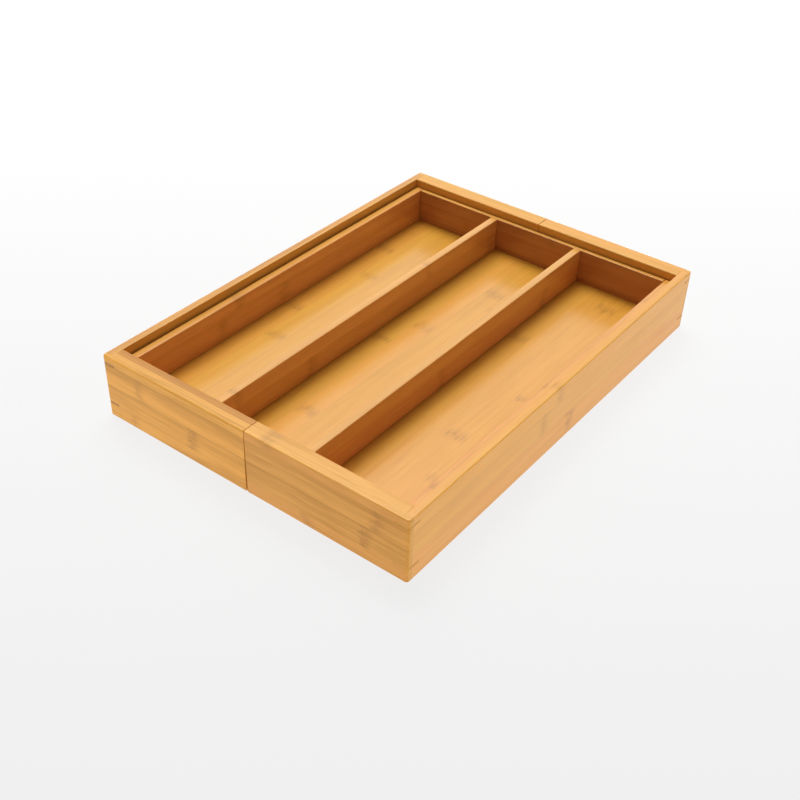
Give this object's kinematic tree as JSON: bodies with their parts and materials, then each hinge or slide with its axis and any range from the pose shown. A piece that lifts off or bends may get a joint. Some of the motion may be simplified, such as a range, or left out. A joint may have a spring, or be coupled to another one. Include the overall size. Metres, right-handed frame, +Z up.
{
  "type": "drawer organizer insert",
  "caption": "Shallow bamboo tray with long side-by-side compartments inside two half trays that slide out sideways to fill a wider drawer.",
  "frame": {"origin": "middle of the underside's footprint, with both half trays closed", "axes": "+X across the drawer to the right half tray, +Y from the drawer's front to its back, +Z up"},
  "size_m": [0.33, 0.457, 0.064],
  "materials": {
    "outer_bamboo": "satin lacquered honey bamboo, laminated from flat strips",
    "inner_bamboo": "satin lacquered bamboo, slightly redder",
    "panel_bamboo": "satin lacquered golden bamboo panel of strips edge to edge",
    "rail_bamboo": "plain planed bamboo, waxed to slide",
    "key_bamboo": "dark bamboo, glued in and sanded flush"
  },
  "bodies": {
    "center_tray": {"center_floor_panel": "panel_bamboo", "center_side_wall_left": "inner_bamboo", "center_side_wall_right": "inner_bamboo", "center_end_wall_front": "inner_bamboo", "center_end_wall_back": "inner_bamboo", "divider_left": "inner_bamboo", "divider_right": "inner_bamboo", "slide_rail_front": "rail_bamboo", "slide_rail_back": "rail_bamboo"},
    "left_tray": {"left_side_wall": "outer_bamboo", "left_end_wall_front": "outer_bamboo", "left_end_wall_back": "outer_bamboo", "left_floor_panel": "panel_bamboo", "left_stop_peg_front": "rail_bamboo", "left_stop_peg_back": "rail_bamboo", "left_corner_key_front_lower": "key_bamboo", "left_corner_key_front_upper": "key_bamboo", "left_corner_key_back_lower": "key_bamboo", "left_corner_key_back_upper": "key_bamboo"},
    "right_tray": {"right_side_wall": "outer_bamboo", "right_end_wall_front": "outer_bamboo", "right_end_wall_back": "outer_bamboo", "right_floor_panel": "panel_bamboo", "right_stop_peg_front": "rail_bamboo", "right_stop_peg_back": "rail_bamboo", "right_corner_key_front_lower": "key_bamboo", "right_corner_key_front_upper": "key_bamboo", "right_corner_key_back_lower": "key_bamboo", "right_corner_key_back_upper": "key_bamboo"}
  },
  "joints": [
    {"name": "left_slide", "type": "slide", "parent": "center_tray", "child": "left_tray", "axis": [-1, 0, 0], "range_m": [0, 0.115]},
    {"name": "right_slide", "type": "slide", "parent": "center_tray", "child": "right_tray", "axis": [1, 0, 0], "range_m": [0, 0.115]}
  ]
}
